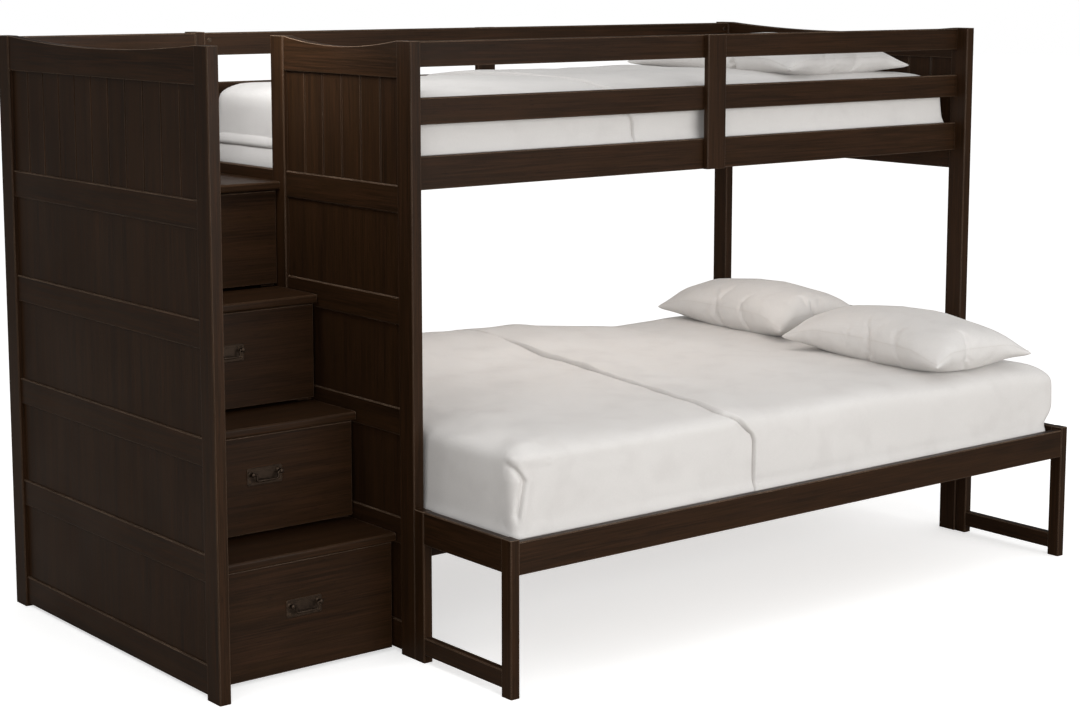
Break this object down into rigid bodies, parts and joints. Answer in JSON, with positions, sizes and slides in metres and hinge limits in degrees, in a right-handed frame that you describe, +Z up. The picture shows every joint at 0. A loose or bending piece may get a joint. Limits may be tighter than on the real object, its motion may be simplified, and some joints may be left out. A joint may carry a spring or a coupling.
{
  "type": "staircase bunk bed",
  "caption": "Twin-over-full bunk bed in dark wood with a drawer staircase at its left end, guard rails, a pull-forward lower bed and white bedding.",
  "frame": {"origin": "centre of the floor rectangle that the bed covers", "axes": "+X along the bed away from the staircase, -Y towards the open front, +Z up"},
  "size_m": [2.582, 1.463, 1.516],
  "materials": {
    "espresso_wood": "satin espresso-stained hardwood",
    "espresso_panel": "satin espresso-stained panel",
    "drawer_box_wood": "clear-sealed birch plywood",
    "slat_wood": "planed unfinished pine",
    "bronze": "oil-rubbed bronze",
    "bed_linen": "white percale cotton",
    "duvet_linen": "white percale cotton, softly filled",
    "pillow_linen": "white percale cotton pillowcase"
  },
  "bodies": {
    "root": {"stair_end_front_post": "espresso_wood", "stair_end_back_post": "espresso_wood", "stair_end_top_rail": "espresso_wood", "stair_end_cross_rails": "espresso_wood", "stair_end_panels": "espresso_panel", "bunk_left_front_post": "espresso_wood", "bunk_left_entry_post": "espresso_wood", "bunk_left_back_post": "espresso_wood", "bunk_left_top_rail": "espresso_wood", "bunk_left_cross_rails": "espresso_wood", "bunk_left_panels": "espresso_panel", "bunk_right_front_post": "espresso_wood", "bunk_right_back_post": "espresso_wood", "bunk_right_top_rail": "espresso_wood", "bunk_right_cross_rails": "espresso_wood", "bunk_right_panels": "espresso_panel", "guard_front_top_rail": "espresso_wood", "guard_front_middle_rail": "espresso_wood", "upper_front_side_rail": "espresso_wood", "guard_back_top_rails": "espresso_wood", "guard_back_middle_rails": "espresso_wood", "upper_back_side_rails": "espresso_wood", "guard_centre_boards": "espresso_wood", "upper_slats": "slat_wood", "lower_slats": "slat_wood", "slat_cleats": "slat_wood", "lower_support_rails": "espresso_wood", "stair_tread_1": "espresso_wood", "stair_tread_2": "espresso_wood", "stair_tread_3": "espresso_wood", "stair_tread_4": "espresso_wood", "stair_side_boards": "espresso_wood", "stair_back_panel": "espresso_panel", "drawer_runners": "slat_wood", "extension_side_rail": "espresso_wood", "extension_legs": "espresso_wood", "extension_cross_rails": "espresso_wood", "upper_mattress": "bed_linen", "upper_pillow": "pillow_linen", "lower_mattress": "bed_linen", "lower_duvet": "duvet_linen", "back_pillow": "pillow_linen", "front_pillow": "pillow_linen", "barrel_nuts": "bronze"},
    "drawer_1": {"drawer_1_front": "espresso_wood", "drawer_1_box": "drawer_box_wood", "drawer_1_pull_plate": "bronze"},
    "bail_1": {"drawer_1_pull_bail": "bronze"},
    "drawer_2": {"drawer_2_front": "espresso_wood", "drawer_2_box": "drawer_box_wood", "drawer_2_pull_plate": "bronze"},
    "bail_2": {"drawer_2_pull_bail": "bronze"},
    "drawer_3": {"drawer_3_front": "espresso_wood", "drawer_3_box": "drawer_box_wood", "drawer_3_pull_plate": "bronze"},
    "bail_3": {"drawer_3_pull_bail": "bronze"},
    "drawer_4": {"drawer_4_front": "espresso_wood", "drawer_4_box": "drawer_box_wood", "drawer_4_pull_plate": "bronze"},
    "bail_4": {"drawer_4_pull_bail": "bronze"}
  },
  "joints": [
    {"name": "drawer_1_slide", "type": "slide", "parent": "root", "child": "drawer_1", "axis": [0, -1, 0], "range_m": [0, 0.4]},
    {"name": "bail_1_swing", "type": "hinge", "parent": "drawer_1", "child": "bail_1", "pos_m": [-1.001, -0.2665, 0.172], "axis": [-1, 0, 0], "range_deg": [0, 95]},
    {"name": "drawer_2_slide", "type": "slide", "parent": "root", "child": "drawer_2", "axis": [0, -1, 0], "range_m": [0, 0.4]},
    {"name": "bail_2_swing", "type": "hinge", "parent": "drawer_2", "child": "bail_2", "pos_m": [-1.001, -0.0945, 0.463], "axis": [-1, 0, 0], "range_deg": [0, 95]},
    {"name": "drawer_3_slide", "type": "slide", "parent": "root", "child": "drawer_3", "axis": [0, -1, 0], "range_m": [0, 0.4]},
    {"name": "bail_3_swing", "type": "hinge", "parent": "drawer_3", "child": "bail_3", "pos_m": [-1.001, 0.0775, 0.741], "axis": [-1, 0, 0], "range_deg": [0, 95]},
    {"name": "drawer_4_slide", "type": "slide", "parent": "root", "child": "drawer_4", "axis": [0, -1, 0], "range_m": [0, 0.26]},
    {"name": "bail_4_swing", "type": "hinge", "parent": "drawer_4", "child": "bail_4", "pos_m": [-1.001, 0.2495, 1.019], "axis": [-1, 0, 0], "range_deg": [0, 95]}
  ]
}
